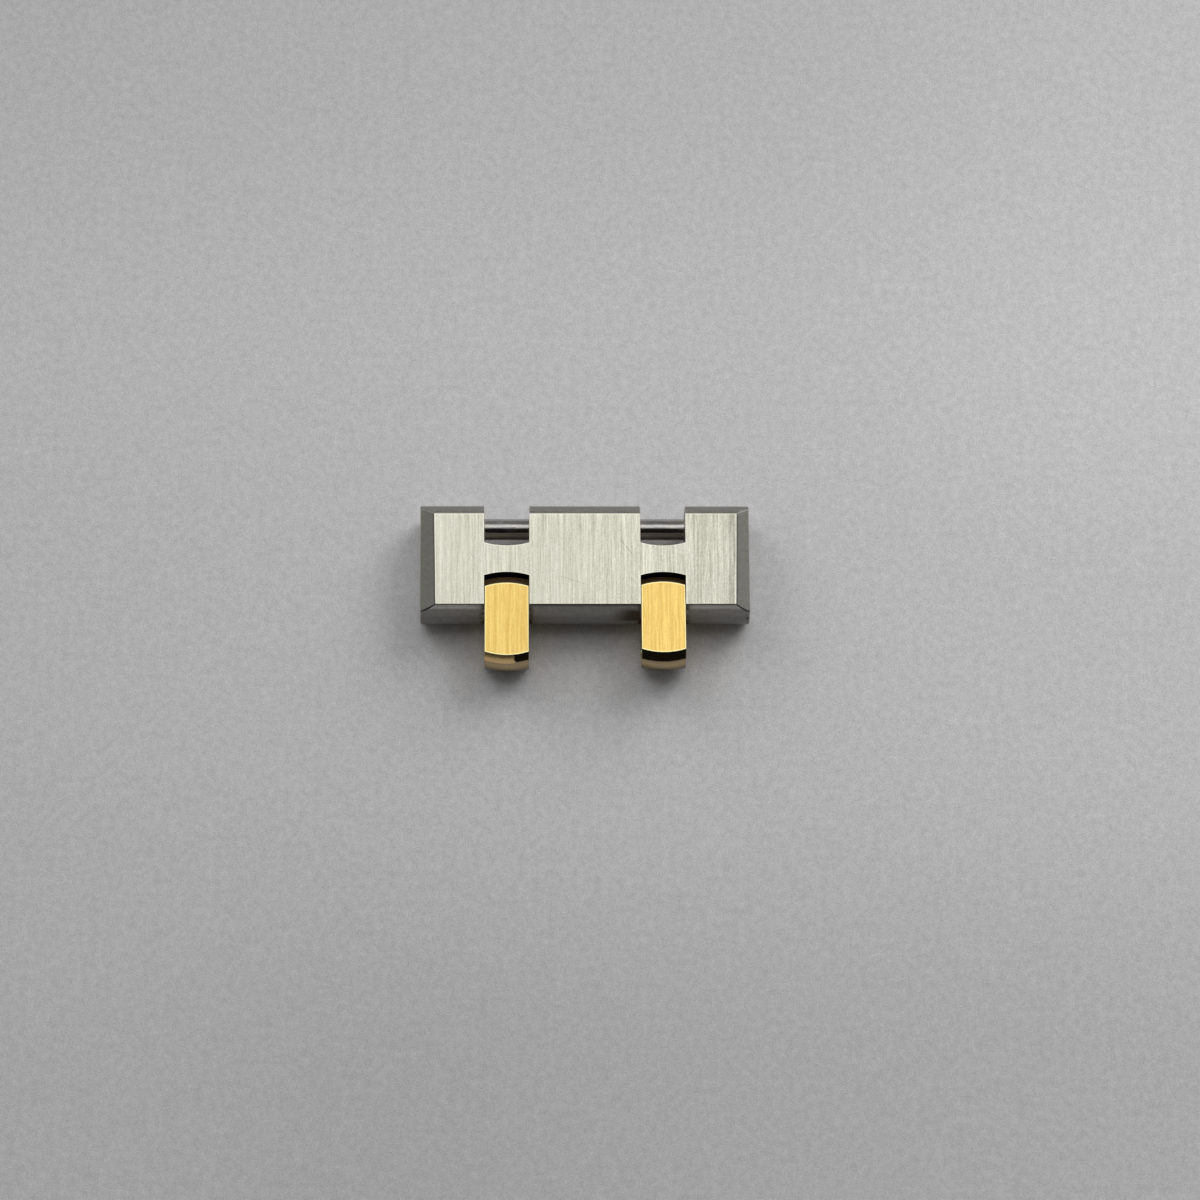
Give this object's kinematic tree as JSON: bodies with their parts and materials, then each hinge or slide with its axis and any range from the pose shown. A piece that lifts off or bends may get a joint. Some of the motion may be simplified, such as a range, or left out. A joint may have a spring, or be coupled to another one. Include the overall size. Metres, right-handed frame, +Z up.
{
  "type": "watch bracelet link",
  "caption": "Two-tone watch bracelet link: brushed H-shaped steel body with bevelled sides, short gold links that swing on a cross pin, and a removable pin across the rear notches.",
  "frame": {"origin": "on the ground plane, under the middle of the link's bounding box", "axes": "+X across the bracelet, +Y along it from the gold links towards the rear notches, +Z up from the wrist side to the face"},
  "size_m": [0.02, 0.0104, 0.0028],
  "materials": {
    "brushed_body_steel": "brushed along the bracelet on the face, polished on the bevels, satin on the ends",
    "gold": "brushed face, polished ends and rims",
    "pin_steel": "polished",
    "collar_steel": "satin"
  },
  "bodies": {
    "steel_body": {"steel_link_body": "brushed_body_steel", "front_collar": "collar_steel", "rear_collar": "collar_steel"},
    "left_link": {"left_gold_link": "gold"},
    "right_link": {"right_gold_link": "gold"},
    "front_cross_pin": {"front_pin": "pin_steel"},
    "rear_cross_pin": {"rear_pin": "pin_steel"}
  },
  "joints": [
    {"name": "left_link_hinge", "type": "hinge", "parent": "steel_body", "child": "left_link", "pos_m": [-0.00475, -0.00073, 0.00129], "axis": [-1, 0, 0], "range_deg": [-85, 85]},
    {"name": "right_link_hinge", "type": "hinge", "parent": "steel_body", "child": "right_link", "pos_m": [0.00475, -0.00073, 0.00129], "axis": [-1, 0, 0], "range_deg": [-89.3, 80.7]},
    {"name": "front_pin_slide", "type": "slide", "parent": "steel_body", "child": "front_cross_pin", "axis": [1, 0, 0], "range_m": [0, 0.018]},
    {"name": "rear_pin_slide", "type": "slide", "parent": "steel_body", "child": "rear_cross_pin", "axis": [1, 0, 0], "range_m": [0, 0.018]}
  ]
}
